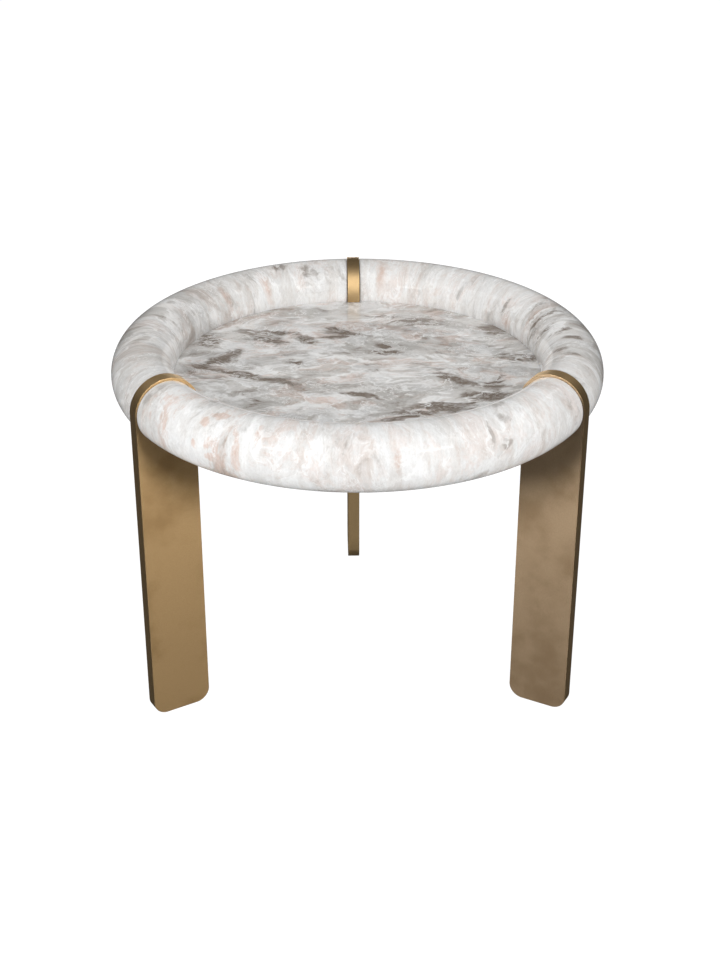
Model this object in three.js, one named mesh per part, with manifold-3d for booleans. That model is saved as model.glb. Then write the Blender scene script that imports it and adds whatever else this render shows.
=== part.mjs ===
// Round coffee table: a stone tray with a thick round rim, held by three upright metal plates.
// Each plate is a leg whose top hooks over the rim and ends on the tray floor.
// Millimetres, +Z up, origin on the ground under the middle of the tray.
import * as THREE from "three";
import { mergeVertices } from "three/addons/utils/BufferGeometryUtils.js";
import Module from "manifold-3d";

const wasm = await Module();
wasm.setup();

// Whole table
const tableHeight = 460; // ground to the top of the hooks
const trayDiameter = 608;
const legNames = ["back", "left", "right"];
const backLegAngle = Math.PI / 2;

// Stone tray
const rimThickness = 77.2; // diameter of the rim's round section
const floorDrop = 7; // tray floor below the middle of the rim's section
const floorThickness = 20;
const floorSeatWidth = 12.6; // how far the floor disc is let into the rim
const grooveDepth = 3; // groove round the rim's section that takes a leg
const grooveSideGap = 0.6;

// Plate legs
const legThickness = 16.4;
const legStandOut = 1.4; // outer edge of a leg beyond the rim
const legReach = 11.4; // how far a leg runs in under the floor disc
const hookRise = 2.8; // hook above the top of the rim
const footCornerRadius = 18;
const legBevel = 0.8;

// Angle brackets between the legs and the floor disc
const bracketThickness = 4;
const bracketWidth = 13.6;
const bracketBendRadius = 3; // inside the bend
const bracketReach = 38; // flange under the floor disc
const bracketDrop = 38; // flange down the leg
const boltEdgeDistance = 8; // flange end to the nearer bolt
const boltSpacing = 15;

// Socket screws and the threaded inserts that take them
const screwDiameter = 5;
const screwHeadDiameter = 9;
const screwHeadHeight = 2.8;
const screwHeadChamfer = 0.8;
const socketWidth = 3; // across the flats
const socketDepth = 1.5;
const screwTipGap = 1; // hole or insert beyond the screw's tip
const insertDiameter = 8;
const insertLength = 12;

// Glides pressed into the feet
const glideDiameter = 11;
const glideHeight = 1.2;
const glideChamfer = 0.4;
const glideStemDiameter = 5;
const glideStemLength = 9;

// Fits and facets
const clearance = 0.3; // between pieces that touch
const overrun = 2; // cutters past the faces that they cut
const traySteps = 88;
const sectionStep = Math.PI / 18;
const legArcStep = Math.PI / 20;
const smallSteps = 12;
const socketSides = 6;

// Places worked out from the sizes
const rimRadius = rimThickness / 2;
const rimOuter = trayDiameter / 2;
const rimPath = rimOuter - rimRadius; // radius of the circle that the section runs along
const rimMiddle = tableHeight - hookRise - rimRadius; // height of that circle
const floorTop = rimMiddle - floorDrop;
const floorBottom = floorTop - floorThickness;
const floorJoint = rimPath - Math.sqrt(rimRadius ** 2 - floorDrop ** 2);
const floorRadius = floorJoint + floorSeatWidth;

const legOuter = rimOuter + legStandOut;
const legInner = floorRadius - legReach;
const legTop = floorBottom - clearance; // flat end of the plate under the floor disc
const legBottom = glideHeight + clearance;
const seatRadius = rimRadius - grooveDepth + clearance; // round cut-out that holds the rim
const hookRadius = rimRadius + hookRise;
const hookMiddle = legOuter - hookRadius;
const hookTip = floorTop + clearance;
const glideOffset = (legOuter - legInner) / 2 - footCornerRadius - glideDiameter / 2;

const bracketTop = floorBottom - clearance;
const bracketOuter = legInner - clearance;
const screwLength = bracketThickness + 2 * clearance + insertLength - screwTipGap;
const tapDepth = insertLength;
const insertHoleDepth = insertLength + clearance;

const stone = new THREE.MeshStandardMaterial({ color: 0xe6e3e0, roughness: 0.3, metalness: 0 });
const darkStone = new THREE.MeshStandardMaterial({ color: 0xb8b3ae, roughness: 0.3, metalness: 0 });
const bronze = new THREE.MeshStandardMaterial({ color: 0x9a7f57, roughness: 0.45, metalness: 0.9 });
const brass = new THREE.MeshStandardMaterial({ color: 0xb4924f, roughness: 0.4, metalness: 1 });
const steel = new THREE.MeshStandardMaterial({ color: 0x8c8c8a, roughness: 0.4, metalness: 1 });
const nylon = new THREE.MeshStandardMaterial({ color: 0x2c2a28, roughness: 0.7, metalness: 0 });

// Points along an arc, both ends included, in equal steps no longer than the one given
function arc(x, y, radius, from, to, step) {
  const count = Math.max(1, Math.ceil(Math.abs(to - from) / step));
  const points = [];
  for (let i = 0; i <= count; i++) {
    const angle = from + ((to - from) * i) / count;
    points.push(new THREE.Vector2(x + radius * Math.cos(angle), y + radius * Math.sin(angle)));
  }
  return points;
}

function point(x, y) {
  return new THREE.Vector2(x, y);
}

// A closed geometry as a solid that can be joined and cut
function solidOf(geometry) {
  const bare = geometry.clone();
  bare.deleteAttribute("normal");
  bare.deleteAttribute("uv");
  const merged = mergeVertices(bare);
  return new wasm.Manifold(
    new wasm.Mesh({
      numProp: 3,
      vertProperties: new Float32Array(merged.attributes.position.array),
      triVerts: new Uint32Array(merged.index.array),
    })
  );
}

function geometryOf(solid) {
  const { numProp, vertProperties, triVerts } = solid.getMesh();
  const geometry = new THREE.BufferGeometry();
  geometry.setAttribute("position", new THREE.BufferAttribute(new Float32Array(vertProperties), numProp));
  geometry.setIndex(new THREE.BufferAttribute(new Uint32Array(triVerts), 1));
  const faceted = geometry.toNonIndexed();
  faceted.computeVertexNormals();
  return faceted;
}

function cut(geometry, cutters) {
  return geometryOf(cutters.reduce((rest, cutter) => rest.subtract(solidOf(cutter)), solidOf(geometry)));
}

// A closed outline of radius and height, turned about the vertical axis
function turned(outline, steps) {
  return new THREE.LatheGeometry([...outline, outline[0]], steps).rotateX(Math.PI / 2);
}

// An upright rod from one height to another
function rod(diameter, bottom, top, steps = smallSteps) {
  const radius = diameter / 2;
  return new THREE.CylinderGeometry(radius, radius, top - bottom, steps)
    .rotateX(Math.PI / 2)
    .translate(0, 0, (top + bottom) / 2);
}

// An outline of distance and height, made into a plate that stands on its edge along X
function plate(outline, thickness, bevel = 0, holes = []) {
  const shape = new THREE.Shape(outline);
  shape.holes = holes.map((hole) => new THREE.Path(hole));
  return new THREE.ExtrudeGeometry(shape, {
    depth: thickness - 2 * bevel,
    steps: 1,
    bevelEnabled: bevel > 0,
    bevelSegments: 1,
    bevelSize: bevel,
    bevelThickness: bevel,
    bevelOffset: -bevel,
  })
    .rotateX(Math.PI / 2)
    .translate(0, thickness / 2 - bevel, 0);
}

function mesh(name, geometry, material) {
  const node = new THREE.Mesh(geometry, material);
  node.name = name;
  return node;
}

const legAngles = legNames.map((_, i) => backLegAngle + (i * 2 * Math.PI) / legNames.length);

// The bolts of a bracket, as distances from its outer top corner
const floorBoltDistances = [bracketReach - boltEdgeDistance - boltSpacing, bracketReach - boltEdgeDistance];
const legBoltDistances = [bracketDrop - boltEdgeDistance - boltSpacing, bracketDrop - boltEdgeDistance];

// Rim: a round section with a step inside for the floor disc, turned into a ring
function rimGeometry() {
  const stepTop = floorTop + clearance;
  const stepWall = floorRadius + clearance;
  const startAngle = Math.PI + Math.acos((rimPath - stepWall) / rimRadius);
  const endAngle = 3 * Math.PI + Math.asin((rimMiddle - stepTop) / rimRadius);
  const section = [
    ...arc(rimPath, rimMiddle, rimRadius, startAngle, 1.5 * Math.PI, sectionStep),
    ...arc(rimPath, rimMiddle, rimRadius, 1.5 * Math.PI, 2 * Math.PI, sectionStep).slice(1),
    ...arc(rimPath, rimMiddle, rimRadius, 2 * Math.PI, 2.5 * Math.PI, sectionStep).slice(1),
    ...arc(rimPath, rimMiddle, rimRadius, 2.5 * Math.PI, endAngle, sectionStep).slice(1),
    point(stepWall, stepTop),
  ];
  const grooveWidth = legThickness + 2 * grooveSideGap;
  const grooves = legAngles.map((angle) => {
    const outer = arc(rimPath, rimMiddle, rimRadius + overrun, 0, 2 * Math.PI, sectionStep).slice(1);
    const inner = arc(rimPath, rimMiddle, rimRadius - grooveDepth, 0, 2 * Math.PI, sectionStep).slice(1);
    return plate(outer, grooveWidth, 0, [inner]).rotateZ(angle);
  });
  return cut(turned(section, traySteps), grooves);
}

// Floor disc, with blind holes underneath for the threaded inserts
function floorGeometry() {
  const holes = legAngles.flatMap((angle) =>
    floorBoltDistances.map((distance) =>
      rod(insertDiameter + 2 * clearance, floorBottom - overrun, floorBottom + insertHoleDepth)
        .translate(bracketOuter - distance, 0, 0)
        .rotateZ(angle)
    )
  );
  return cut(rod(2 * floorRadius, floorBottom, floorTop, traySteps), holes);
}

// Leg: an upright plate with a round seat for the rim, its hook and two rounded foot corners
function legGeometry() {
  const seatStart = Math.PI + Math.asin((rimMiddle - hookTip) / seatRadius);
  const seatEnd = Math.asin(Math.min((rimMiddle - legTop) / seatRadius, 1)) - Math.PI;
  const tipAngle = Math.PI + Math.asin((rimMiddle - hookTip) / hookRadius);
  const cornerHeight = legBottom + footCornerRadius;
  const outline = [
    ...arc(legInner + footCornerRadius, cornerHeight, footCornerRadius, Math.PI, 1.5 * Math.PI, legArcStep),
    ...arc(legOuter - footCornerRadius, cornerHeight, footCornerRadius, 1.5 * Math.PI, 2 * Math.PI, legArcStep),
    ...arc(hookMiddle, rimMiddle, hookRadius, 0, Math.PI / 2, legArcStep),
    ...arc(hookMiddle, rimMiddle, hookRadius, Math.PI / 2, tipAngle, legArcStep).slice(1),
    ...arc(rimPath, rimMiddle, seatRadius, seatStart, seatEnd, legArcStep),
    point(legInner, legTop),
  ];
  const glideHoles = [-glideOffset, glideOffset].map((offset) =>
    rod(glideStemDiameter + 2 * clearance, legBottom - overrun, legBottom + glideStemLength + clearance)
      .translate((legInner + legOuter) / 2 + offset, 0, 0)
  );
  const tappedHoles = legBoltDistances.map((distance) =>
    rod(screwDiameter + 2 * clearance, -overrun, tapDepth)
      .rotateY(Math.PI / 2)
      .translate(legInner, 0, bracketTop - distance)
  );
  return cut(plate(outline, legThickness, legBevel), [...glideHoles, ...tappedHoles]);
}

// Bracket: a strip bent to a right angle, with clearance holes for its screws
function bracketGeometry() {
  const outerBend = bracketBendRadius + bracketThickness;
  const bendX = bracketOuter - outerBend;
  const bendZ = bracketTop - outerBend;
  const outline = [
    ...arc(bendX, bendZ, outerBend, 0, Math.PI / 2, legArcStep),
    point(bracketOuter - bracketReach, bracketTop),
    point(bracketOuter - bracketReach, bracketTop - bracketThickness),
    ...arc(bendX, bendZ, bracketBendRadius, Math.PI / 2, 0, legArcStep),
    point(bracketOuter - bracketThickness, bracketTop - bracketDrop),
    point(bracketOuter, bracketTop - bracketDrop),
  ];
  const holeDiameter = screwDiameter + 2 * clearance;
  const uprightHoles = floorBoltDistances.map((distance) =>
    rod(holeDiameter, bracketTop - bracketThickness - overrun, bracketTop + overrun)
      .translate(bracketOuter - distance, 0, 0)
  );
  const levelHoles = legBoltDistances.map((distance) =>
    rod(holeDiameter, -bracketThickness - overrun, overrun)
      .rotateY(Math.PI / 2)
      .translate(bracketOuter, 0, bracketTop - distance)
  );
  return cut(plate(outline, bracketWidth), [...uprightHoles, ...levelHoles]);
}

// Screw pointing up, the underside of its head at zero, with a hexagon socket in the head
function screwGeometry() {
  const shankRadius = screwDiameter / 2;
  const headRadius = screwHeadDiameter / 2;
  const tipRadius = shankRadius - screwTipGap;
  const body = turned(
    [
      point(0, -screwHeadHeight),
      point(headRadius - screwHeadChamfer, -screwHeadHeight),
      point(headRadius, screwHeadChamfer - screwHeadHeight),
      point(headRadius, 0),
      point(shankRadius, 0),
      point(shankRadius, screwLength - screwTipGap),
      point(tipRadius, screwLength),
      point(0, screwLength),
    ],
    smallSteps
  );
  const socketDiameter = (2 * socketWidth) / Math.sqrt(3);
  const socket = rod(socketDiameter, -screwHeadHeight - overrun, socketDepth - screwHeadHeight, socketSides);
  return cut(body, [socket]);
}

// Insert: a sleeve open at both ends, its lower end at zero
function insertGeometry() {
  const bore = screwDiameter / 2 + clearance;
  const outer = insertDiameter / 2;
  return turned([point(bore, 0), point(outer, 0), point(outer, insertLength), point(bore, insertLength)], smallSteps);
}

// Glide: a low round pad with a stem, standing on the ground
function glideGeometry() {
  const padRadius = glideDiameter / 2;
  const stemRadius = glideStemDiameter / 2;
  return turned(
    [
      point(0, 0),
      point(padRadius - glideChamfer, 0),
      point(padRadius, glideChamfer),
      point(padRadius, glideHeight),
      point(stemRadius, glideHeight),
      point(stemRadius, glideHeight + glideStemLength),
      point(0, glideHeight + glideStemLength),
    ],
    smallSteps
  );
}

// One leg with everything that is fitted to it, standing along +X
function legStation(name) {
  const station = new THREE.Group();
  station.add(mesh(`leg_${name}`, legGeometry(), bronze));
  station.add(mesh(`bracket_${name}`, bracketGeometry(), bronze));
  const bracketUnderside = bracketTop - bracketThickness - clearance;
  const bracketFace = bracketOuter - bracketThickness - clearance;
  floorBoltDistances.forEach((distance, i) => {
    const x = bracketOuter - distance;
    const screw = mesh(`tray_screw_${name}_${i + 1}`, screwGeometry(), steel);
    screw.position.set(x, 0, bracketUnderside);
    const insert = mesh(`insert_${name}_${i + 1}`, insertGeometry(), brass);
    insert.position.set(x, 0, floorBottom);
    station.add(screw, insert);
  });
  legBoltDistances.forEach((distance, i) => {
    const screw = mesh(`leg_screw_${name}_${i + 1}`, screwGeometry(), steel);
    screw.rotation.y = Math.PI / 2;
    screw.position.set(bracketFace, 0, bracketTop - distance);
    station.add(screw);
  });
  [-glideOffset, glideOffset].forEach((offset, i) => {
    const glide = mesh(`glide_${name}_${i + 1}`, glideGeometry(), nylon);
    glide.position.x = (legInner + legOuter) / 2 + offset;
    station.add(glide);
  });
  return station;
}

const table = new THREE.Group();
table.add(mesh("rim", rimGeometry(), stone));
table.add(mesh("tray_floor", floorGeometry(), darkStone));
legNames.forEach((name, i) => {
  const station = legStation(name);
  station.rotation.z = legAngles[i];
  table.add(station);
});

export default table;
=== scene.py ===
import math

import bmesh
import bpy
from bpy.props import FloatProperty, FloatVectorProperty, IntProperty, PointerProperty
from mathutils import Matrix, Vector


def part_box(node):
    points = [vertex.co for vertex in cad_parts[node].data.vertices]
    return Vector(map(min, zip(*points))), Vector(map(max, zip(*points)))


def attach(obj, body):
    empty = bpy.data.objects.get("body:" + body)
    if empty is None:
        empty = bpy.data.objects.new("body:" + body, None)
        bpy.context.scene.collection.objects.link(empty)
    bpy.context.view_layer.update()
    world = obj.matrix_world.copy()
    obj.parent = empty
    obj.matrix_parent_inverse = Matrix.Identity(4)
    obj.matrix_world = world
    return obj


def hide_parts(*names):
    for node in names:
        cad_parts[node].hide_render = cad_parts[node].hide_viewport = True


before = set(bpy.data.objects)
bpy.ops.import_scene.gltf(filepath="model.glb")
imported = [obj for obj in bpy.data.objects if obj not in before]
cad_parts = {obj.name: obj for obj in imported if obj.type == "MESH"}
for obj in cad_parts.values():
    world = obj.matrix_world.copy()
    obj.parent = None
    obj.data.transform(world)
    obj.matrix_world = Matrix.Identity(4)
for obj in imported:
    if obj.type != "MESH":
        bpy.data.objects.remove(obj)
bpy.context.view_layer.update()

bl_info = {
    "name": "Stone Tray Table",
    "version": (1, 0, 0),
    "blender": (4, 5, 0),
    "location": "3D Viewport > Sidebar > Tray Table",
    "description": "Builds a round stone tray on three plate legs that hook over its rim, and a studio",
    "category": "Object",
}

BODY = "root"
MM = 0.001

# Places read from the construction. The back leg stands along +Y
LEGS = ("back", "left", "right")
PAIR = (1, 2)
rim_low, rim_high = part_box("rim")
floor_low, floor_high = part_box("tray_floor")
leg_low, leg_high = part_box("leg_back")
bracket_low, bracket_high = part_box("bracket_back")

SECTION_RADIUS = (rim_high.z - rim_low.z) / 2
RIM_MIDDLE = (rim_high.z + rim_low.z) / 2
RIM_PATH = rim_high.x - SECTION_RADIUS  # radius of the circle that the round section runs along
PLATE_THICKNESS = leg_high.x - leg_low.x
HOOK_RADIUS = leg_high.z - RIM_MIDDLE

CORNER_STEP = math.radians(15)  # turn between the points of a small rounded corner
ALONG_X = Matrix.Rotation(math.pi / 2, 4, "Y")  # lays a form that stands along Z along X


def length(name, millimetres, description):
    """A property for a size in metres, whose default is given in millimetres"""
    return FloatProperty(name=name, description=description, default=millimetres * MM, min=0.0,
                         precision=5, unit="LENGTH")


def colour(name, red, green, blue, description):
    """A property for a colour, in linear light"""
    return FloatVectorProperty(name=name, description=description, default=(red, green, blue),
                               min=0.0, max=1.0, size=3, subtype="COLOR")


def portion(name, default, description):
    """A property for a share between nothing and one"""
    return FloatProperty(name=name, description=description, default=default, min=0.0, max=1.0,
                         subtype="FACTOR")


def watts(name, default, description):
    """A property for the power of a lamp"""
    return FloatProperty(name=name, description=description, default=default, min=0.0, unit="POWER")


def brightness(name, default, description):
    """A property for a brightness, where one is white"""
    return FloatProperty(name=name, description=description, default=default, min=0.0)


class TraySizes(bpy.types.PropertyGroup):
    """Sizes of the stone tray that its boxes don't give"""

    groove_depth: length("Groove depth", 3, "How deep the groove for a leg is cut into the rim")
    groove_gap: length("Groove side gap", 0.6, "Air between a leg and each side of its groove")
    edge_break: length("Edge break", 0.4, "Flat that takes the sharpness off the groove's edges")
    glue_line: length("Glue line", 0.05, "Gap between the rim's step and the floor disc")
    section_points: IntProperty(name="Section points", default=110, min=24,
                                description="Points round the rim's section")
    columns: IntProperty(name="Columns", default=84, min=12,
                         description="Columns of faces from one groove to the next")


class PlateSizes(bpy.types.PropertyGroup):
    """Sizes of the plate legs and their angle brackets"""

    clearance: length("Clearance", 0.3, "Gap between pieces that touch")
    foot_radius: length("Foot radius", 18, "Radius of the two lower corners of a leg")
    edge_round: length("Edge rounding", 0.5, "Rounding along the outline of a leg")
    bracket_thickness: length("Bracket thickness", 4, "Thickness of the bracket's strip")
    bend_radius: length("Bend radius", 3, "Inside radius of the bracket's bend")
    bracket_round: length("Bracket rounding", 0.4, "Rounding along the outline of a bracket")
    arc_step: FloatProperty(name="Arc step", default=math.radians(2), min=0.01, subtype="ANGLE",
                            description="Largest turn between two points of a round outline")


class HardwareSizes(bpy.types.PropertyGroup):
    """Sizes of the screws and glides"""

    shank: length("Shank", 5, "Diameter of a screw's shank")
    head_height: length("Head height", 2.8, "Height of a screw's head")
    head_round: length("Head rounding", 1.0, "Rounding of the head's outer edge")
    socket_width: length("Socket width", 3, "Width of the hexagon socket across its flats")
    socket_depth: length("Socket depth", 1.5, "Depth of the hexagon socket")
    tip: length("Tip", 1, "Bevel at the end of a screw")
    hole_depth: length("Hole depth", 12, "Depth of the tapped holes in a leg")
    stem: length("Stem", 5, "Diameter of a glide's stem")
    stem_length: length("Stem length", 9, "Length of a glide's stem")
    pad_round: length("Pad rounding", 0.4, "Rounding of a glide's lower edge")
    steps: IntProperty(name="Steps", default=48, min=12, description="Sides of a turned piece")


class StoneLook(bpy.types.PropertyGroup):
    """Colours of the marble"""

    white: colour("White", 0.88, 0.88, 0.875, "Ground of the marble")
    grey: colour("Grey", 0.57, 0.562, 0.55, "Clouds in the marble")
    brown: colour("Brown", 0.22, 0.18, 0.148, "Dark patches and veins")
    peach: colour("Peach", 0.86, 0.68, 0.6, "Warm stains")
    bright: colour("Bright", 0.93, 0.93, 0.925, "Thin white wisps")
    field_tint: colour("Field tint", 0.84, 0.825, 0.805, "Shade of the broad fields")
    streak_tint: colour("Streak tint", 0.72, 0.685, 0.655, "Shade of the fine streaks")
    grain_tint: colour("Grain tint", 0.78, 0.765, 0.75, "Shade of the grain")
    band_tint: colour("Band tint", 0.87, 0.84, 0.815, "Shade of the bands round the rim's section")
    # painted shade: the front of the rim is made darker to tone down the light of the front lamps
    front_painted_shade: colour("Front painted shade", 0.93, 0.935, 0.94, "Shade of the front of the rim")
    translucence: portion("Translucence", 0.2, "Share of the light that spreads inside the stone")
    gloss: portion("Polish roughness", 0.06, "Roughness of the polished stone")


class MetalLook(bpy.types.PropertyGroup):
    """Colours of the metal and plastic pieces"""

    bronze: colour("Bronze", 0.39, 0.262, 0.128, "Satin bronze of the flat faces")
    bronze_grey: colour("Grey bronze", 0.35, 0.255, 0.16, "Greyer bronze of the leg on the right")
    patina: colour("Patina", 0.78, 0.745, 0.7, "Darker clouds on the flat faces")
    polished: colour("Polished bronze", 0.78, 0.55, 0.285, "Bronze along the outlines")
    pores: colour("Pores", 0.0, 0.0, 0.0, "Fine dark grain in the bronze")
    satin_roughness: portion("Satin roughness", 0.6, "Roughness of the flat faces")
    polished_roughness: portion("Polished roughness", 0.5, "Roughness of the outlines")
    steel: colour("Steel", 0.46, 0.46, 0.45, "Zinc plated screws")
    brass: colour("Brass", 0.56, 0.40, 0.19, "Threaded inserts")
    tool_marks: colour("Tool marks", 0.1, 0.1, 0.1, "Marks on screws and inserts from their making")
    nylon: colour("Nylon", 0.024, 0.022, 0.02, "Glides")
    worn_nylon: colour("Worn nylon", 0.05, 0.048, 0.045, "Paler grain of the glides")


class StudioSizes(bpy.types.PropertyGroup):
    """Camera, lamps and backdrop"""

    lens: FloatProperty(name="Lens", default=61.806, min=1.0, unit="CAMERA",
                        description="Focal length on a 36 mm frame, in millimetres")
    viewpoint: FloatVectorProperty(name="Viewpoint", default=(-0.04398, -1.88998, 1.23148), size=3,
                                   precision=5, subtype="TRANSLATION", description="Place of the camera")
    aim: FloatVectorProperty(name="Aim", size=3, precision=5, subtype="EULER",
                             default=(math.radians(62.650), math.radians(-0.057), math.radians(-1.404)),
                             description="Turn of the camera")
    left_power: watts("Left power", 23.0, "Power of the soft lamp to the left of the camera")
    right_power: watts("Right power", 24.0, "Power of the soft lamp to the right of the camera")
    rear_power: watts("Rear power", 28.0, "Power of the soft lamp behind the table")
    top_power: watts("Top power", 13.5, "Power of the soft lamp overhead")
    ambient: brightness("Ambient", 0.26, "Strength of the sky that lights the object")
    ground_reach: FloatProperty(name="Ground reach", default=12.0, min=0.0, unit="LENGTH",
                                description="Half the width of the ground")
    ground_tone: portion("Ground tone", 0.72, "Paleness of the ground under the lamps")
    ground_glow: brightness("Ground glow", 1.12, "Brightness of the ground as the camera sees it")
    ground_share: portion("Ground share", 0.9, "Share of the glow in the ground that the camera sees")
    ground_level: brightness("Ground level", 0.27, "Brightness of the ground that the back leg reflects")
    side_level: brightness("Side level", 0.08, "Cards at the sides, on the ground and behind the camera")
    back_level: brightness("Back level", 0.08, "Brightness of the card at the back")
    overhead_level: brightness("Overhead level", 0.08, "Brightness of the card overhead")
    lamp_level: brightness("Lamp level", 155.0, "Brightness of the cards just behind the side lamps")
    low_level: brightness("Low level", 6.0, "Brightness of the cards below the side lamps")
    rear_level: brightness("Rear level", 4.0, "Brightness of the card behind the table")
    shine_level: brightness("Shine level", 4.0, "Brightness of the cards that shine in the stone")
    front_level: brightness("Front level", 3.2, "Brightness of the card at the front")


# Shader nodes

class Recipe:
    """Adds nodes to one node tree. An input is a number, a colour or the socket that feeds it"""

    def __init__(self, tree):
        self.tree = tree
        tree.nodes.clear()

    def node(self, kind, inputs, **settings):
        node = self.tree.nodes.new("ShaderNode" + kind)
        for name, value in settings.items():
            setattr(node, name, value)
        for key, value in inputs.items():
            if isinstance(value, bpy.types.NodeSocket):
                self.tree.links.new(value, node.inputs[key])
            else:
                node.inputs[key].default_value = value
        return node

    def add(self, kind, inputs, output=0, **settings):
        """One node, from which the chosen output socket is returned"""
        return self.node(kind, inputs, **settings).outputs[output]

    def maths(self, operation, *values):
        return self.add("Math", dict(enumerate(values)), operation=operation)

    def vector(self, operation, *values):
        return self.add("VectorMath", dict(enumerate(values)), operation=operation)

    def scaled(self, vector, factor):
        return self.add("VectorMath", {0: vector, "Scale": factor}, operation="SCALE")

    def combine(self, x, y, z):
        return self.add("CombineXYZ", {0: x, 1: y, 2: z})

    def split(self, vector):
        return tuple(self.node("SeparateXYZ", {0: vector}).outputs)

    def noise(self, where, scale, detail=4.0, roughness=0.5, distortion=0.0, output="Fac"):
        inputs = {"Vector": where, "Scale": scale, "Detail": detail, "Roughness": roughness,
                  "Distortion": distortion}
        return self.add("TexNoise", inputs, output)

    def wander(self, where, scale, reach, detail=2.0):
        """The place moved by a soft random vector, no further than about half the reach"""
        push = self.noise(where, scale, detail, output="Color")
        push = self.vector("SUBTRACT", push, (0.5, 0.5, 0.5))
        return self.vector("ADD", where, self.scaled(push, reach))

    def between(self, value, low, high, first=0.0, last=1.0):
        """A smooth step from first to last while the value goes from low to high"""
        inputs = {"Value": value, "From Min": low, "From Max": high, "To Min": first, "To Max": last}
        return self.add("MapRange", inputs, interpolation_type="SMOOTHSTEP")

    def mix(self, factor, a, b, blend="MIX"):
        return self.add("Mix", {0: factor, 6: a, 7: b}, 2, data_type="RGBA", blend_type=blend)

    def position(self):
        return self.add("TexCoord", {}, "Object")

    def bump(self, height, strength, distance):
        return self.add("Bump", {"Height": height, "Strength": strength, "Distance": distance})

    def surface(self, **inputs):
        """A Principled surface joined to the output"""
        inputs = {name.replace("_", " "): value for name, value in inputs.items()}
        shader = self.add("BsdfPrincipled", inputs)
        self.node("OutputMaterial", {"Surface": shader})


def rgba(value):
    return (*value, 1.0)


def material(name, build):
    """The material of that name, made on its first use"""
    made = bpy.data.materials.get(name)
    if made is None:
        made = bpy.data.materials.new(name)
        made.use_nodes = True
        build(Recipe(made.node_tree))
    return made


# Marble

def rim_flow(recipe):
    """Azimuth from the front, the place along the ring and round the section, and the same as a chart"""
    x, y, z = recipe.split(recipe.position())
    distance = recipe.maths("SQRT", recipe.maths("ADD", recipe.maths("MULTIPLY", x, x),
                                                 recipe.maths("MULTIPLY", y, y)))
    outward = recipe.maths("SUBTRACT", distance, RIM_PATH)
    upward = recipe.maths("SUBTRACT", z, RIM_MIDDLE)
    # the jump of this angle lies in the step, under the floor disc
    turn = recipe.maths("ARCTAN2", recipe.maths("SUBTRACT", upward, outward),
                        recipe.maths("ADD", upward, outward))
    around = recipe.maths("MULTIPLY", turn, SECTION_RADIUS)
    path_x = recipe.maths("MULTIPLY", recipe.maths("DIVIDE", x, distance), RIM_PATH)
    path_y = recipe.maths("MULTIPLY", recipe.maths("DIVIDE", y, distance), RIM_PATH)
    azimuth = recipe.maths("ARCTAN2", x, recipe.maths("MULTIPLY", y, -1.0))
    flow = recipe.combine(path_x, path_y, recipe.maths("MULTIPLY", around, 0.5))
    return azimuth, flow, recipe.combine(recipe.maths("MULTIPLY", azimuth, RIM_PATH), around, 0.0)


def near(recipe, azimuth, middle, reach):
    """One at an azimuth of the rim, in degrees, falling to zero over the reach"""
    away = recipe.maths("ABSOLUTE", recipe.maths("SUBTRACT", azimuth, math.radians(middle)))
    return recipe.between(away, math.radians(reach), 0.0)


def patches(recipe, place, places):
    """One in the middle of each patch, which has a middle, half sizes and a turn, and zero round them"""
    whole = 0.0
    for x, y, long, wide, turn in places:
        local = recipe.add("Mapping", {"Vector": place, "Location": (x * MM, y * MM, 0.0),
                                       "Rotation": (0.0, 0.0, math.radians(turn)),
                                       "Scale": (long * MM, wide * MM, 1.0)}, vector_type="TEXTURE")
        ball = recipe.add("TexGradient", {"Vector": local}, "Fac", gradient_type="SPHERICAL")
        whole = recipe.maths("MAXIMUM", ball, whole)
    return whole


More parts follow.
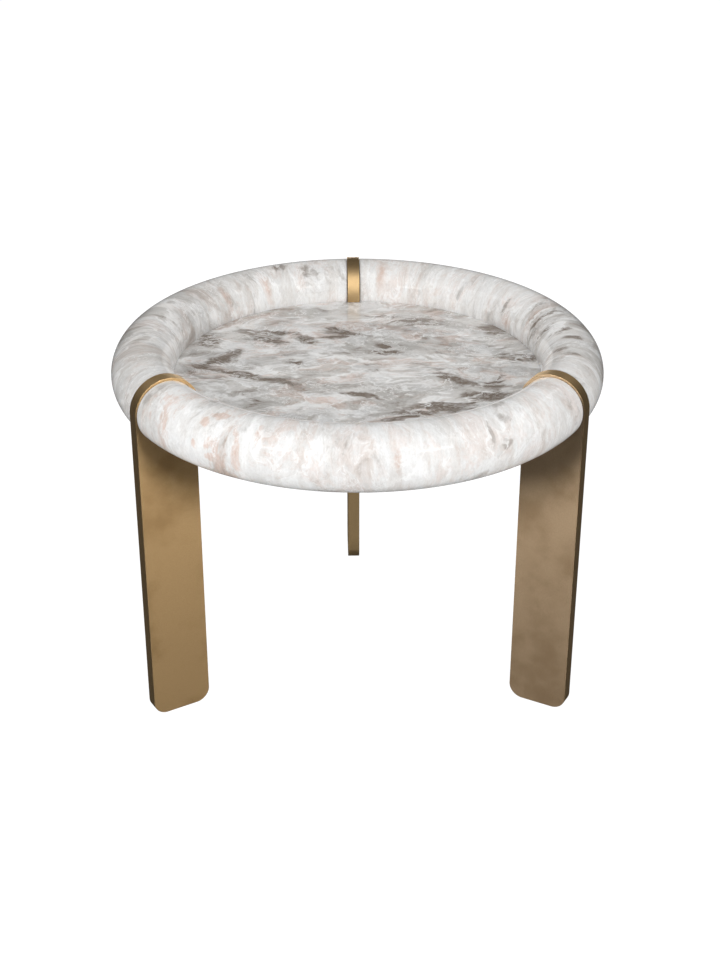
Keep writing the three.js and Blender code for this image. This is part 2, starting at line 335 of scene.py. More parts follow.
def stone_colours(recipe, place, look, grey, brown, peach, dark, warm, pale):
    """The marble's colour at a place, with the strength of each tint and the patches there"""
    loose = recipe.wander(place, scale=11.0, reach=0.07)
    swirl = recipe.wander(loose, scale=36.0, reach=0.026, detail=3.0)
    curled = recipe.wander(swirl, scale=110.0, reach=0.009)
    clouds = recipe.noise(swirl, scale=24.0, detail=9.0, roughness=0.68)
    fields = recipe.noise(curled, scale=19.0, detail=4.0, roughness=0.55)
    spots = recipe.noise(curled, scale=40.0, detail=8.0, roughness=0.72)
    blush = recipe.noise(swirl, scale=26.0, detail=8.0, roughness=0.74)
    streaks = recipe.noise(swirl, scale=75.0, detail=8.0, roughness=0.78)
    crumbs = recipe.noise(curled, scale=190.0, detail=6.0, roughness=0.78)
    broken = recipe.noise(place, scale=24.0, detail=2.0)
    grain = recipe.noise(place, scale=420.0, detail=5.0, roughness=0.75)

    # soft clouds, broad fields and fine streaks over the white ground
    cloud = recipe.maths("MULTIPLY", recipe.between(clouds, 0.36, 0.62), grey)
    base = recipe.mix(cloud, rgba(look.white), rgba(look.grey))
    field = recipe.maths("MULTIPLY", recipe.between(fields, 0.5, 0.54), grey)
    base = recipe.mix(field, base, rgba(look.field_tint), "MULTIPLY")
    streak = recipe.maths("MULTIPLY", recipe.between(streaks, 0.48, 0.66), grey)
    base = recipe.mix(streak, base, rgba(look.streak_tint), "MULTIPLY")

    # warm stains, broken up by crumbs
    blush = recipe.between(recipe.maths("MULTIPLY_ADD", warm, 0.26, blush), 0.49, 0.6)
    blush = recipe.maths("MULTIPLY", blush, recipe.between(crumbs, 0.36, 0.56, 0.4, 1.0))
    blush = recipe.maths("MULTIPLY", blush, recipe.maths("MAXIMUM", peach, warm))
    base = recipe.mix(blush, base, rgba(look.peach), "MULTIPLY")

    # dark stains, stronger in their patches
    stain = recipe.between(recipe.maths("MULTIPLY_ADD", dark, 0.25, spots), 0.51, 0.68)
    share = recipe.maths("MAXIMUM", recipe.between(broken, 0.38, 0.6), recipe.between(dark, 0.0, 0.4))
    stain = recipe.maths("MULTIPLY", recipe.maths("MULTIPLY", stain, share), brown)
    stain = recipe.maths("MULTIPLY", stain, recipe.between(crumbs, 0.34, 0.56, 0.55, 1.0))
    base = recipe.mix(stain, base, rgba(look.brown))

    # white wisps along the edges of the fields and spots, and in the pale patches
    edge = recipe.maths("ABSOLUTE", recipe.maths("SUBTRACT", fields, 0.495))
    wisp = recipe.maths("MULTIPLY", recipe.between(edge, 0.02, 0.004), recipe.between(broken, 0.62, 0.44))
    base = recipe.mix(recipe.maths("MULTIPLY", wisp, 0.7), base, rgba(look.bright))
    edge = recipe.maths("ABSOLUTE", recipe.maths("SUBTRACT", spots, 0.45))
    wisp = recipe.maths("MULTIPLY", recipe.between(edge, 0.02, 0.003), recipe.between(clouds, 0.42, 0.54))
    pale = recipe.maths("MULTIPLY", recipe.between(pale, 0.0, 0.5), recipe.between(streaks, 0.56, 0.44))
    wisp = recipe.maths("MAXIMUM", wisp, pale)
    base = recipe.mix(recipe.maths("MULTIPLY", wisp, 0.8), base, rgba(look.bright))

    grained = recipe.between(grain, 0.35, 0.7, 0.0, 0.45)
    return recipe.mix(grained, base, rgba(look.grain_tint), "MULTIPLY")


def polished_stone(recipe, base, look):
    """A glossy surface that lets some light into the stone"""
    recipe.surface(Base_Color=base, Roughness=look.gloss, IOR=1.5, Subsurface_Weight=look.translucence,
                   Subsurface_Radius=(0.02, 0.018, 0.016), Subsurface_Scale=1.0)


def on_rim(azimuth, height, along, around, turn=0.0):
    """A patch for the rim's chart, with its middle as azimuth and section angle in degrees"""
    return (math.radians(azimuth) * RIM_PATH / MM, math.radians(height - 45) * SECTION_RADIUS / MM,
            along, around, turn)


def rim_marble(recipe):
    """White stone, greyer at the sides and warmer at the front left, with painted shade that darkens the
    front
    """
    look = bpy.context.scene.stone_look
    azimuth, flow, chart = rim_flow(recipe)
    grey = recipe.maths("ADD", recipe.maths("MULTIPLY_ADD", near(recipe, azimuth, -105, 60), 0.45, 0.25),
                        recipe.maths("MULTIPLY", near(recipe, azimuth, 95, 45), 0.45))
    brown = recipe.maths("ADD", recipe.maths("MULTIPLY_ADD", near(recipe, azimuth, 100, 40), 0.5, 0.5),
                         recipe.maths("MULTIPLY", near(recipe, azimuth, -150, 40), 0.3))
    peach = recipe.maths("MULTIPLY_ADD", near(recipe, azimuth, -38, 34), 0.5, 0.35)
    chart = recipe.vector("MULTIPLY", recipe.wander(chart, scale=60.0, reach=0.01), (1.0, 1.0, 0.0))
    warm = [on_rim(-47.7, 14, 6, 26, 21), on_rim(-37, 46, 8, 10), on_rim(-38.5, 12, 6, 9),
            on_rim(-27.8, 14, 6, 32, 8), on_rim(-34.5, 19, 6, 9), on_rim(-33, -4, 14, 6),
            on_rim(-23.5, 53, 8, 13), on_rim(-34, 69, 15, 7, 10), on_rim(120, 171, 20, 16),
            on_rim(109, 130, 9, 38), on_rim(-150, 140, 9, 32), on_rim(7, 18, 6, 24),
            on_rim(-134, 140, 9, 32), on_rim(171, 130, 10, 34)]
    dark = [on_rim(-164, 114, 12, 17), on_rim(-156, 94, 20, 13), on_rim(-117, 138, 6, 16),
            on_rim(-105, 112, 5, 22), on_rim(-115, 92, 6, 10), on_rim(33, 60, 8, 9),
            on_rim(35.6, 95, 13, 8), on_rim(32, 17, 7, 8), on_rim(74.5, 90, 7, 22),
            on_rim(79, 114, 9, 14), on_rim(87, 88, 10, 22), on_rim(92, 112, 12, 24),
            on_rim(98, 136, 7, 26), on_rim(142.5, 152, 8, 12), on_rim(105, 120, 5, 34),
            on_rim(123, 150, 5, 24), on_rim(28.5, 45, 5, 26)]
    pale = [on_rim(-33.7, 38, 7, 42, -38), on_rim(-25.5, 36, 5, 46), on_rim(-14, 40, 5, 36),
            on_rim(113, 130, 7, 40), on_rim(119, 125, 6, 40), on_rim(-126, 162, 12, 12),
            on_rim(108, 135, 5, 36), on_rim(-67, 5, 20, 5, 25), on_rim(42, 30, 7, 34),
            on_rim(-43, 40, 6, 40, 12), on_rim(-21.5, 61, 7, 7), on_rim(-18, -1, 7, 8),
            on_rim(-23, 39, 7, 6), on_rim(-112, 75, 8, 30, 20), on_rim(-98, 120, 5, 30),
            on_rim(-88, 70, 6, 34, 30)]
    base = stone_colours(recipe, flow, look, grey, brown, peach, dark=patches(recipe, chart, dark),
                         warm=patches(recipe, chart, warm), pale=patches(recipe, chart, pale))
    bands = recipe.wander(recipe.vector("MULTIPLY", flow, (1.0, 1.0, 0.3)), scale=50.0, reach=0.006)
    bands = recipe.noise(bands, scale=70.0, detail=5.0, roughness=0.6)
    banded = recipe.between(bands, 0.46, 0.62, 0.0, 0.6)
    base = recipe.mix(banded, base, rgba(look.band_tint), "MULTIPLY")
    # painted shade: darkens the rim within 60 degrees of the front, against the strong light of the front
    # lamps
    base = recipe.mix(near(recipe, azimuth, 0, 60), base, rgba(look.front_painted_shade), "MULTIPLY")
    polished_stone(recipe, base, look)


def floor_marble(recipe):
    """Greyer stone with dark patches, given as places in millimetres"""
    look = bpy.context.scene.stone_look
    place = recipe.vector("MULTIPLY", recipe.position(), (0.6, 1.0, 1.0))
    flat = recipe.wander(recipe.position(), scale=50.0, reach=0.02)
    flat = recipe.vector("MULTIPLY", flat, (1.0, 1.0, 0.0))
    dark = [(200, 25, 40, 24, -10), (168, -50, 32, 20, 60), (148, -90, 36, 20, -10),
            (105, -117, 60, 18, 4), (65, -135, 40, 14, 10), (40, 68, 24, 17, 0), (42, 46, 42, 11, 0),
            (-68, 98, 40, 16, -60), (-115, 117, 60, 13, -6), (-190, 92, 38, 24, 90),
            (-172, 28, 64, 20, 48), (-135, -22, 86, 12, -24), (-5, -80, 48, 9, -18),
            (-20, 112, 44, 30, 0), (80, 150, 58, 20, -8), (190, 118, 42, 24, -20),
            (118, -38, 50, 11, -35), (-118, 92, 46, 11, -25), (-75, 20, 22, 12, 0),
            (45, 170, 50, 11, -4)]
    pale = [(-10, 30, 84, 10, -16), (85, 35, 58, 7, -4), (-120, -2, 64, 10, -26),
            (-80, -12, 8, 26, 0), (-155, 140, 60, 10, 36), (-66, 118, 10, 28, 30),
            (55, -65, 7, 30, 20), (30, 110, 7, 30, 10)]
    base = stone_colours(recipe, place, look, grey=0.85, brown=1.0, peach=0.7, warm=0.0,
                         dark=patches(recipe, flat, dark), pale=patches(recipe, flat, pale))
    polished_stone(recipe, base, look)


# Metal and plastic

def bronze(recipe):
    """Satin on the flat faces of a plate, with brighter polish along its outline"""
    look = bpy.context.scene.metal_look
    place = recipe.position()
    mottle = recipe.noise(place, scale=12.0, detail=3.5, roughness=0.6)
    grain = recipe.noise(place, scale=1600.0, detail=2.0, roughness=0.6)
    x, y, z = recipe.split(place)
    outward = recipe.vector("NORMALIZE", recipe.combine(x, y, 0.0))
    across = recipe.vector("CROSS_PRODUCT", outward, (0.0, 0.0, 1.0))
    facing = recipe.node("VectorMath", {0: across, 1: recipe.add("TexCoord", {}, "Normal")},
                         operation="DOT_PRODUCT").outputs["Value"]
    flat = recipe.between(recipe.maths("ABSOLUTE", facing), 0.75, 0.97)
    satin = recipe.mix(recipe.between(x, 0.05, 0.2), rgba(look.bronze), rgba(look.bronze_grey))
    satin = recipe.mix(recipe.between(mottle, 0.42, 0.66), satin, rgba(look.patina), "MULTIPLY")
    base = recipe.mix(flat, rgba(look.polished), satin)
    base = recipe.mix(recipe.between(grain, 0.3, 0.7, 0.0, 0.16), base, rgba(look.pores))
    middle = recipe.between(flat, 0.0, 1.0, look.polished_roughness, look.satin_roughness)
    rough = recipe.maths("ADD", middle, recipe.between(grain, 0.3, 0.7, -0.04, 0.04))
    normal = recipe.bump(grain, strength=0.12, distance=0.1 * MM)
    recipe.surface(Base_Color=base, Metallic=1.0, Roughness=rough, Normal=normal)


def plain_metal(tint, roughness):
    """A turned or plated metal with fine marks from its making"""
    def build(recipe):
        place = recipe.position()
        marks = recipe.noise(place, scale=900.0, detail=3.0, roughness=0.6)
        dull = rgba(bpy.context.scene.metal_look.tool_marks)
        base = recipe.mix(recipe.between(marks, 0.3, 0.7, 0.0, 0.3), rgba(tint), dull)
        rough = recipe.between(marks, 0.3, 0.7, roughness - 0.08, roughness + 0.08)
        recipe.surface(Base_Color=base, Metallic=1.0, Roughness=rough)
    return build


def steel(recipe):
    plain_metal(bpy.context.scene.metal_look.steel, 0.38)(recipe)


def brass(recipe):
    plain_metal(bpy.context.scene.metal_look.brass, 0.34)(recipe)


def nylon(recipe):
    look = bpy.context.scene.metal_look
    moulding = recipe.noise(recipe.position(), scale=1200.0, detail=3.0)
    base = recipe.mix(recipe.between(moulding, 0.3, 0.7), rgba(look.nylon), rgba(look.worn_nylon))
    normal = recipe.bump(moulding, strength=0.2, distance=0.05 * MM)
    recipe.surface(Base_Color=base, Roughness=0.55, Normal=normal)


# Forms

def arc(x, z, radius, start, end, step):
    """Points along an arc, both ends included"""
    count = max(1, math.ceil(abs(end - start) / step))
    angles = [start + (end - start) * i / count for i in range(count + 1)]
    return [(x + radius * math.cos(a), z + radius * math.sin(a)) for a in angles]


def plate(outline, thickness, rounding, segments=3):
    """An outline of distance and height made into a plate that stands on edge along X"""
    form = bmesh.new()
    front = [form.verts.new((x, -thickness / 2, z)) for x, z in outline]
    rear = [form.verts.new((x, thickness / 2, z)) for x, z in outline]
    sides = [form.faces.new(front), form.faces.new(rear[::-1])]
    for i, (a, b) in enumerate(zip(front, rear)):
        form.faces.new((front[i - 1], a, b, rear[i - 1])[::-1])
    bmesh.ops.recalc_face_normals(form, faces=form.faces)
    if rounding:
        edges = list({edge for side in sides for edge in side.edges})
        bmesh.ops.bevel(form, geom=edges, offset=rounding, segments=segments, profile=0.5,
                        affect="EDGES", clamp_overlap=True)
    return form


def turned(profile, steps):
    """A profile of radius and height, from the axis back to the axis, turned about Z"""
    form = bmesh.new()
    rings = []
    for radius, height in profile:
        angles = [2 * math.pi * k / steps for k in range(steps)] if radius else [0.0]
        rings.append([form.verts.new((radius * math.cos(a), radius * math.sin(a), height)) for a in angles])
    for lower, upper in zip(rings, rings[1:]):
        for k in range(steps):
            corners = [lower[k % len(lower)], lower[(k + 1) % len(lower)],
                       upper[(k + 1) % len(upper)], upper[k % len(upper)]]
            form.faces.new(list(dict.fromkeys(corners)))
    bmesh.ops.recalc_face_normals(form, faces=form.faces)
    return form


def rod(radius, bottom, top, steps=32):
    """A round bar along Z"""
    return turned([(0, bottom), (radius, bottom), (radius, top), (0, top)], steps)


def moved(form, *matrices):
    """The form itself, after one move after the other"""
    for matrix in matrices:
        form.transform(matrix)
    return form


def joined(forms):
    """Several separate forms in one mesh"""
    whole = bmesh.new()
    for form in forms:
        part = bpy.data.meshes.new("part")
        form.to_mesh(part)
        form.free()
        whole.from_mesh(part)
        bpy.data.meshes.remove(part)
    return whole


def new_object(name, form):
    mesh = bpy.data.meshes.new(name)
    form.to_mesh(mesh)
    form.free()
    made = bpy.data.objects.new(name, mesh)
    bpy.context.scene.collection.objects.link(made)
    return made


def cut(piece, cutters):
    """Cuts the joined cutters out of a piece, for good"""
    tool = new_object("cutters", joined(cutters))
    boolean = piece.modifiers.new("holes", "BOOLEAN")
    boolean.object = tool
    boolean.solver = "EXACT"
    graph = bpy.context.evaluated_depsgraph_get()
    result = bpy.data.meshes.new_from_object(piece.evaluated_get(graph))
    piece.modifiers.remove(boolean)
    whole = piece.data
    piece.data = result
    bpy.data.meshes.remove(whole)
    bpy.data.objects.remove(tool)
    if not result.polygons:
        raise RuntimeError(f"cutting the holes of {piece.name} left nothing")
    result.name = piece.name


def finish_piece(piece, look, node, sharp=30.0, weighted=False):
    """Shades a piece, gives it its material and body, and hides the construction node that it replaces"""
    piece.data.materials.clear()
    piece.data.materials.append(look)
    piece.data.shade_smooth()
    piece.data.set_sharp_from_angle(angle=math.radians(sharp))
    if weighted:
        normals = piece.modifiers.new("flat faces", "WEIGHTED_NORMAL")
        normals.keep_sharp = True
    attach(piece, BODY)
    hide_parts(node)


def dress_node(name, look):
    """Gives a node of the construction a material"""
    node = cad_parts[name]
    node.data.materials.clear()
    node.data.materials.append(look)


def station(name):
    """The turn that takes a form built along +X to a leg's place"""
    low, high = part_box(f"glide_{name}_1")
    middle = (low + high) / 2
    return Matrix.Rotation(math.atan2(middle.y, middle.x), 4, "Z")


# Operators

class TABLE_OT_rim(bpy.types.Operator):
    """Round stone rim with a step for the floor disc and three grooves for the legs"""

    bl_idname = "table.rim"
    bl_label = "Stone rim"

    def section(self, radius):
        """Distance and height of the points round the section, which ends in the step's corner"""
        sizes = bpy.context.scene.tray_sizes
        step_top = floor_high.z + sizes.glue_line
        step_wall = floor_high.x + sizes.glue_line
        start = math.acos((step_wall - RIM_PATH) / radius)
        end = math.pi + math.asin((RIM_MIDDLE - step_top) / radius)
        count = sizes.section_points
        points = [(RIM_PATH + radius * math.cos(a), RIM_MIDDLE + radius * math.sin(a))
                  for a in (-start + (end + start) * i / (count - 1) for i in range(count))]
        return [*points, (step_wall, step_top)]

    def column(self, azimuth, offset, radius):
        """Azimuth, distance and height of a column's points, at an offset from a leg's middle plane"""
        return [(azimuth + math.asin(offset / distance), distance, height)
                for distance, height in self.section(radius)]

    def execute(self, context):
        sizes = context.scene.tray_sizes
        edge = PLATE_THICKNESS / 2 + sizes.groove_gap
        lip = edge + sizes.edge_break
        groove = [(-lip, 0.0), (-edge, sizes.edge_break), (-edge, sizes.groove_depth),
                  (edge, sizes.groove_depth), (edge, sizes.edge_break), (lip, 0.0)]
        columns = []
        turn = 2 * math.pi / len(LEGS)
        first = math.pi / 2
        for i in range(len(LEGS)):
            azimuth = first + i * turn
            cuts = [self.column(azimuth, offset, SECTION_RADIUS - depth) for offset, depth in groove]
            goal = self.column(azimuth + turn, -lip, SECTION_RADIUS)
            columns += cuts
            for k in range(1, sizes.columns):
                share = k / sizes.columns
                columns.append([(a[0] + (b[0] - a[0]) * share, a[1], a[2]) for a, b in zip(cuts[-1], goal)])
        form = bmesh.new()
        rows = [[form.verts.new((d * math.cos(a), d * math.sin(a), z)) for a, d, z in column]
                for column in columns]
        for i, row in enumerate(rows):
            before = rows[i - 1]
            for j in range(len(row)):
                form.faces.new((before[j - 1], before[j], row[j], row[j - 1]))
        bmesh.ops.remove_doubles(form, verts=form.verts, dist=0.001 * MM)
        bmesh.ops.dissolve_degenerate(form, edges=form.edges, dist=0.001 * MM)
        bmesh.ops.recalc_face_normals(form, faces=form.faces)
        rim = new_object("stone_rim", form)
        finish_piece(rim, material("rim marble", rim_marble), "rim")
        return {"FINISHED"}


class TABLE_OT_floor(bpy.types.Operator):
    """Marble of the floor disc, which keeps its shape from the construction"""

    bl_idname = "table.floor"
    bl_label = "Tray floor"

    def execute(self, context):
        dress_node("tray_floor", material("floor marble", floor_marble))
        return {"FINISHED"}


class TABLE_OT_legs(bpy.types.Operator):
    """Plate legs with a round seat for the rim, a hook, rounded feet and their holes"""

    bl_idname = "table.legs"
    bl_label = "Plate legs"

    def outline(self, sizes, groove_depth):
        """Distance and height of the points round a leg"""
        seat = SECTION_RADIUS - groove_depth + sizes.clearance
        top = floor_low.z - sizes.clearance
        tip = floor_high.z + sizes.clearance
        foot = sizes.foot_radius
        step = sizes.arc_step
        seat_start = math.pi + math.asin((RIM_MIDDLE - tip) / seat)
        seat_end = math.asin(min((RIM_MIDDLE - top) / seat, 1.0)) - math.pi
        tip_angle = math.pi + math.asin((RIM_MIDDLE - tip) / HOOK_RADIUS)
        inner = bracket_high.y + sizes.clearance
        outer = leg_high.y
        return [
            *arc(inner + foot, leg_low.z + foot, foot, math.pi, 1.5 * math.pi, step),
            *arc(outer - foot, leg_low.z + foot, foot, 1.5 * math.pi, 2 * math.pi, step),
            *arc(outer - HOOK_RADIUS, RIM_MIDDLE, HOOK_RADIUS, 0, math.pi / 2, step),
            *arc(outer - HOOK_RADIUS, RIM_MIDDLE, HOOK_RADIUS, math.pi / 2, tip_angle, step)[1:],
            *arc(RIM_PATH, RIM_MIDDLE, seat, seat_start, seat_end, step),
            (inner, top),
        ]

    def execute(self, context):
        sizes = context.scene.plate_sizes
        hardware = context.scene.hardware_sizes
        outline = self.outline(sizes, context.scene.tray_sizes.groove_depth)
        inner = bracket_high.y + sizes.clearance
        look = material("satin bronze", bronze)
        for name in LEGS:
            leg = new_object(f"plate_leg_{name}", plate(outline, PLATE_THICKNESS, sizes.edge_round))
            holes = []
            for i in PAIR:
                low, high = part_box(f"leg_screw_back_{i}")
                bore = rod(hardware.shank / 2 + sizes.clearance, -hardware.hole_depth, hardware.hole_depth)
                holes.append(moved(bore, ALONG_X, Matrix.Translation((inner, 0, (low.z + high.z) / 2))))
                low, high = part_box(f"glide_back_{i}")
                depth = hardware.stem_length + sizes.clearance
                socket = rod(hardware.stem / 2 + sizes.clearance, -depth, depth)
                holes.append(moved(socket, Matrix.Translation(((low.y + high.y) / 2, 0, leg_low.z))))
            cut(leg, holes)
            leg.data.transform(station(name))
            finish_piece(leg, look, f"leg_{name}", weighted=True)
        return {"FINISHED"}


class TABLE_OT_brackets(bpy.types.Operator):
    """Angle brackets between the legs and the floor disc"""

    bl_idname = "table.brackets"
    bl_label = "Angle brackets"

    def execute(self, context):
        sizes = context.scene.plate_sizes
        hardware = context.scene.hardware_sizes
        outer, inner = bracket_high.y, bracket_low.y
        top, bottom = bracket_high.z, bracket_low.z
        bend = sizes.bend_radius + sizes.bracket_thickness
        middle = (outer - bend, top - bend)
        outline = [
            *arc(*middle, bend, 0, math.pi / 2, sizes.arc_step),
            (inner, top),
            (inner, top - sizes.bracket_thickness),
            *arc(*middle, sizes.bend_radius, math.pi / 2, 0, sizes.arc_step),
            (outer - sizes.bracket_thickness, bottom),
            (outer, bottom),
        ]
        width = bracket_high.x - bracket_low.x
        radius = hardware.shank / 2 + sizes.clearance
        look = material("satin bronze", bronze)
        for name in LEGS:
            bracket = new_object(f"angle_bracket_{name}", plate(outline, width, sizes.bracket_round))
            holes = []
            for i in PAIR:
                low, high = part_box(f"tray_screw_back_{i}")
                bore = rod(radius, top - 2 * sizes.bracket_thickness, top + sizes.bracket_thickness)
                holes.append(moved(bore, Matrix.Translation(((low.y + high.y) / 2, 0, 0))))
                low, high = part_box(f"leg_screw_back_{i}")
                bore = rod(radius, -2 * sizes.bracket_thickness, sizes.bracket_thickness)
                holes.append(moved(bore, ALONG_X, Matrix.Translation((outer, 0, (low.z + high.z) / 2))))
            cut(bracket, holes)
            bracket.data.transform(station(name))
            finish_piece(bracket, look, f"bracket_{name}", weighted=True)
        return {"FINISHED"}


class TABLE_OT_screws(bpy.types.Operator):
    """Socket screws that hold the brackets to the floor disc and to the legs"""

    bl_idname = "table.screws"
    bl_label = "Socket screws"

    def screw(self, name, head, whole):
        """A screw pointing up from the bottom of its head, which lies at zero"""
        sizes = bpy.context.scene.hardware_sizes
        corner = sizes.head_round
        profile = [
            (0, 0),
            *arc(head - corner, corner, corner, -math.pi / 2, 0, CORNER_STEP),
            (head, sizes.head_height),
            (sizes.shank / 2, sizes.head_height),
            (sizes.shank / 2, whole - sizes.tip),
            (sizes.shank / 2 - sizes.tip, whole),
            (0, whole),
        ]
        made = new_object(name, turned(profile, sizes.steps))
        cut(made, [rod(sizes.socket_width / math.sqrt(3), -sizes.socket_depth, sizes.socket_depth, 6)])
        return made

    def execute(self, context):
        look = material("plated steel", steel)
        for name in LEGS:
            for i in PAIR:
                low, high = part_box(f"tray_screw_back_{i}")
                made = self.screw(f"socket_screw_tray_{name}_{i}", (high.x - low.x) / 2, high.z - low.z)
                made.data.transform(Matrix.Translation(((low.y + high.y) / 2, 0, low.z)))
                made.data.transform(station(name))
                finish_piece(made, look, f"tray_screw_{name}_{i}")
                low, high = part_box(f"leg_screw_back_{i}")
                made = self.screw(f"socket_screw_leg_{name}_{i}", (high.x - low.x) / 2, high.y - low.y)
                made.data.transform(Matrix.Translation((low.y, 0, (low.z + high.z) / 2)) @ ALONG_X)
                made.data.transform(station(name))
                finish_piece(made, look, f"leg_screw_{name}_{i}")
        return {"FINISHED"}


class TABLE_OT_inserts(bpy.types.Operator):
    """Brass of the threaded inserts, which keep their shape from the construction"""

    bl_idname = "table.inserts"
    bl_label = "Threaded inserts"

    def execute(self, context):
        for name in LEGS:
            for i in PAIR:
                dress_node(f"insert_{name}_{i}", material("turned brass", brass))
        return {"FINISHED"}


class TABLE_OT_glides(bpy.types.Operator):
    """Nylon glides with stems pressed into the feet"""

    bl_idname = "table.glides"
    bl_label = "Glides"

    def execute(self, context):
        sizes = context.scene.hardware_sizes
        corner = sizes.pad_round
        look = material("moulded nylon", nylon)
        for name in LEGS:
            for i in PAIR:
                low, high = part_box(f"glide_back_{i}")
                pad = (high.x - low.x) / 2
                shoulder = high.z - sizes.stem_length
                profile = [
                    (0, low.z),
                    *arc(pad - corner, low.z + corner, corner, -math.pi / 2, 0, CORNER_STEP),
                    (pad, shoulder),
                    (sizes.stem / 2, shoulder),
                    (sizes.stem / 2, high.z),
                    (0, high.z),
                ]
                glide = new_object(f"nylon_glide_{name}_{i}", turned(profile, sizes.steps))
                glide.data.transform(Matrix.Translation(((low.y + high.y) / 2, 0, 0)))
                glide.data.transform(station(name))
                finish_piece(glide, look, f"glide_{name}_{i}")
        return {"FINISHED"}


def backdrop_share(recipe):
    """One for the rays that see the backdrop: from the camera, off gloss and through glass"""
    path = recipe.node("LightPath", {}).outputs
    seen = recipe.maths("MAXIMUM", path["Is Camera Ray"], path["Is Glossy Ray"])
    return recipe.maths("MAXIMUM", seen, path["Is Transmission Ray"])


# Lamps: name, place, width and height, and the setting that holds the power
CENTRE = (0.0, 0.0, 0.42)
LAMPS = (
    ("lamp_left", (-1.345, -1.603, 1.10), (0.6, 0.6), "left_power"),
    ("lamp_right", (1.127, -1.734, 1.172), (0.6, 0.6), "right_power"),
    ("lamp_top", (0.0, -0.3, 2.6), (1.2, 1.2), "top_power"),
    ("lamp_rear", (0.0, 2.2, 1.1), (1.2, 0.8), "rear_power"),
)

# Cards: name, place, size, what they face, the setting that holds the brightness, and the legs
# that reflect the card where it isn't for all pieces
CARDS = (
    ("card_ground", (0.0, 0.2, 0.0005), (3.0, 3.6), (0.0, 0.2, 1.0), "side_level", ()),
    ("card_left", (-1.4, 0.2, 0.9), (3.6, 1.8), (0.0, 0.2, 0.9), "side_level", ()),
    ("card_right", (1.4, 0.2, 0.9), (3.6, 1.8), (0.0, 0.2, 0.9), "side_level", ()),
    ("card_back", (0.0, 1.9, 1.1), (3.2, 2.2), (0.0, 0.0, 1.1), "back_level", ()),
    ("card_top", (0.0, 0.8, 2.3), (3.0, 2.4), (0.0, 0.8, 0.0), "overhead_level", ()),
    ("card_behind", (0.0, -2.9, 1.2), (6.0, 3.6), (0.0, 0.0, 1.2), "side_level", ()),
    ("card_lamp_left", (-1.36, -1.621, 1.2), (0.5, 0.5), CENTRE, "lamp_level", ("right",)),
    ("card_lamp_right", (1.14, -1.753, 1.27), (0.5, 0.5), CENTRE, "lamp_level", ("left",)),
    ("card_low_left", (-1.36, -1.62, 0.35), (0.8, 0.6), CENTRE, "low_level", ("right",)),
    ("card_low_right", (1.14, -1.75, 0.35), (0.8, 0.6), CENTRE, "low_level", ("left",)),
    ("card_rear", (0.0, 1.8, 0.3), (2.4, 0.6), (0.0, 0.0, 0.3), "rear_level", LEGS),
    ("card_shine_left", (-1.225, -1.459, 1.52), (0.6, 0.25), CENTRE, "shine_level", ()),
    ("card_shine_right", (1.027, -1.582, 1.553), (0.6, 0.25), CENTRE, "shine_level", ()),
    ("card_front", (0.0, -1.7, 1.5), (0.8, 2.6), CENTRE, "front_level", ("back",)),
    ("card_ground_front", (0.0, -0.1, 0.001), (0.3, 0.6), (0.0, -0.1, 1.0), "ground_level", ("back",)),
)


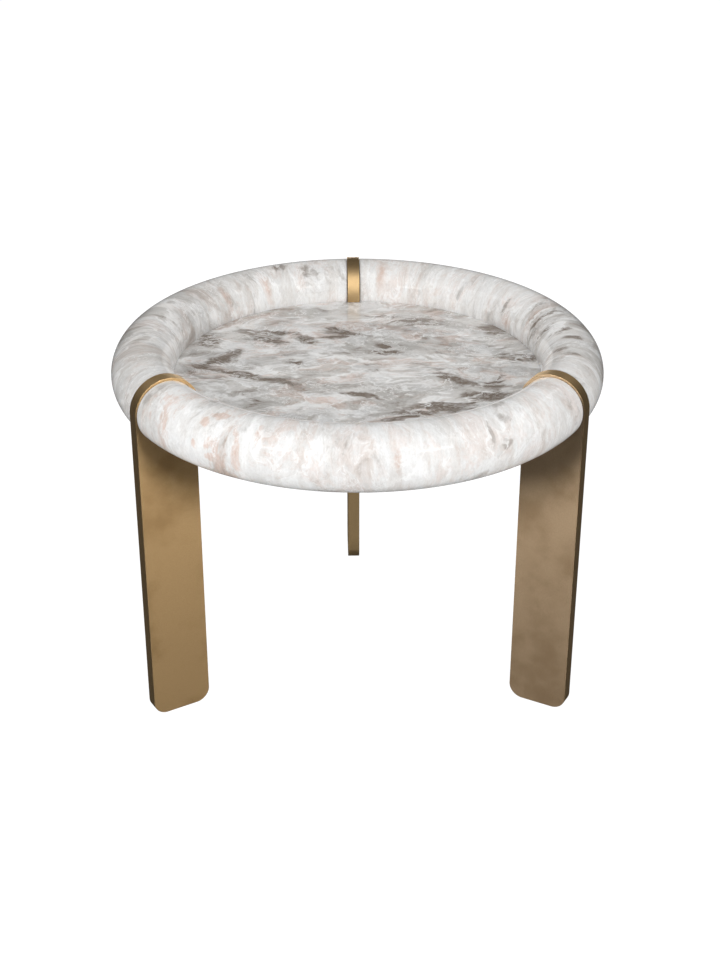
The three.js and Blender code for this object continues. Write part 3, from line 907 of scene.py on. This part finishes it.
class TABLE_OT_studio(bpy.types.Operator):
    """Pale floor, soft lamps, cards that darken the reflections, and the camera"""

    bl_idname = "table.studio"
    bl_label = "Studio"

    def ground(self, sizes):
        """A floor that the camera sees nearly white and that keeps the object's shadow"""
        form = bmesh.new()
        bmesh.ops.create_grid(form, x_segments=1, y_segments=1, size=sizes.ground_reach)
        ground = new_object("studio_ground", form)

        def build(recipe):
            tone = sizes.ground_tone
            plain = recipe.add("BsdfDiffuse", {"Color": (tone, tone, tone, 1.0)})
            glow = recipe.add("Emission", {"Color": (1.0, 1.0, 1.0, 1.0), "Strength": sizes.ground_glow})
            seen = recipe.maths("MULTIPLY", backdrop_share(recipe), sizes.ground_share)
            shader = recipe.add("MixShader", {0: seen, 1: plain, 2: glow})
            recipe.node("OutputMaterial", {"Surface": shader})
        ground.data.materials.append(material("ground", build))

    def world(self, sizes):
        """A sky that backs the picture in white and lights the object less"""
        world = bpy.data.worlds.new("studio")
        world.use_nodes = True
        bpy.context.scene.world = world
        recipe = Recipe(world.node_tree)
        ambient = sizes.ambient
        strength = recipe.maths("MULTIPLY_ADD", backdrop_share(recipe), 1.0 - ambient, ambient)
        shader = recipe.add("Background", {"Color": (1.0, 1.0, 1.0, 1.0), "Strength": strength})
        recipe.node("OutputWorld", {"Surface": shader})

    def camera(self, sizes):
        """The camera, as solved from the photographed outlines"""
        data = bpy.data.cameras.new("camera")
        data.lens = sizes.lens
        data.sensor_width = 36.0
        camera = bpy.data.objects.new("camera", data)
        camera.location = sizes.viewpoint
        camera.rotation_euler = sizes.aim
        bpy.context.scene.collection.objects.link(camera)
        bpy.context.scene.camera = camera

    def softbox(self, name, place, size, power):
        """A soft lamp that faces the table and that reflections don't see"""
        data = bpy.data.lights.new(name, "AREA")
        data.shape = "RECTANGLE"
        data.size, data.size_y = size
        data.energy = power
        lamp = bpy.data.objects.new(name, data)
        lamp.visible_glossy = False
        lamp.location = place
        lamp.rotation_mode = "QUATERNION"
        lamp.rotation_quaternion = (Vector(place) - Vector(CENTRE)).to_track_quat("Z", "Y")
        bpy.context.scene.collection.objects.link(lamp)

    def receivers(self, legs):
        """The collection of those plate legs, made on its first use"""
        name = " ".join(("plates", *legs))
        group = bpy.data.collections.get(name)
        if group is None:
            group = bpy.data.collections.new(name)
            for leg in legs:
                group.objects.link(bpy.data.objects[f"plate_leg_{leg}"])
        return group

    def card(self, name, place, size, aim, level, legs):
        """A card that only reflections see, or only those in some of the legs"""
        form = bmesh.new()
        bmesh.ops.create_grid(form, x_segments=1, y_segments=1, size=0.5)
        card = new_object(name, form)
        card.scale = (*size, 1.0)
        card.location = place
        card.rotation_mode = "QUATERNION"
        card.rotation_quaternion = (Vector(aim) - Vector(place)).to_track_quat("Z", "Y")
        for ray in ("camera", "diffuse", "transmission", "volume_scatter", "shadow"):
            setattr(card, "visible_" + ray, False)

        def build(recipe):
            glow = recipe.add("Emission", {"Color": (level, level, level, 1.0), "Strength": 1.0})
            recipe.node("OutputMaterial", {"Surface": glow})
        card.data.materials.append(material(name, build))
        if legs:
            card.light_linking.receiver_collection = self.receivers(legs)

    def execute(self, context):
        sizes = context.scene.studio_sizes
        self.ground(sizes)
        self.world(sizes)
        self.camera(sizes)
        for name, place, size, power in LAMPS:
            self.softbox(name, place, size, getattr(sizes, power))
        for name, place, size, aim, level, legs in CARDS:
            self.card(name, place, size, aim, getattr(sizes, level), legs)
        context.scene.view_settings.view_transform = "Standard"
        return {"FINISHED"}


class TABLE_PT_sidebar(bpy.types.Panel):
    """Lists the pieces and their settings in the 3D view's sidebar"""

    bl_idname = "TABLE_PT_sidebar"
    bl_label = "Tray Table"
    bl_space_type = "VIEW_3D"
    bl_region_type = "UI"
    bl_category = "Tray Table"

    def draw(self, context):
        for operator in PIECES:
            self.layout.operator(operator.bl_idname)
        for name, group in SETTINGS.items():
            box = self.layout.box()
            box.label(text=group.__doc__)
            for field in group.__annotations__:
                box.prop(getattr(context.scene, name), field)


SETTINGS = {"tray_sizes": TraySizes, "plate_sizes": PlateSizes, "hardware_sizes": HardwareSizes,
            "stone_look": StoneLook, "metal_look": MetalLook, "studio_sizes": StudioSizes}
PIECES = (TABLE_OT_rim, TABLE_OT_floor, TABLE_OT_legs, TABLE_OT_brackets, TABLE_OT_screws,
          TABLE_OT_inserts, TABLE_OT_glides, TABLE_OT_studio)


def register():
    for group in (*SETTINGS.values(), *PIECES, TABLE_PT_sidebar):
        bpy.utils.register_class(group)
    for name, group in SETTINGS.items():
        setattr(bpy.types.Scene, name, PointerProperty(type=group))


def unregister():
    for name in SETTINGS:
        delattr(bpy.types.Scene, name)
    for group in (TABLE_PT_sidebar, *PIECES[::-1], *list(SETTINGS.values())[::-1]):
        bpy.utils.unregister_class(group)


def main():
    register()
    for operator in PIECES:
        group, name = operator.bl_idname.split(".")
        getattr(getattr(bpy.ops, group), name)()


if __name__ == "__main__":
    main()
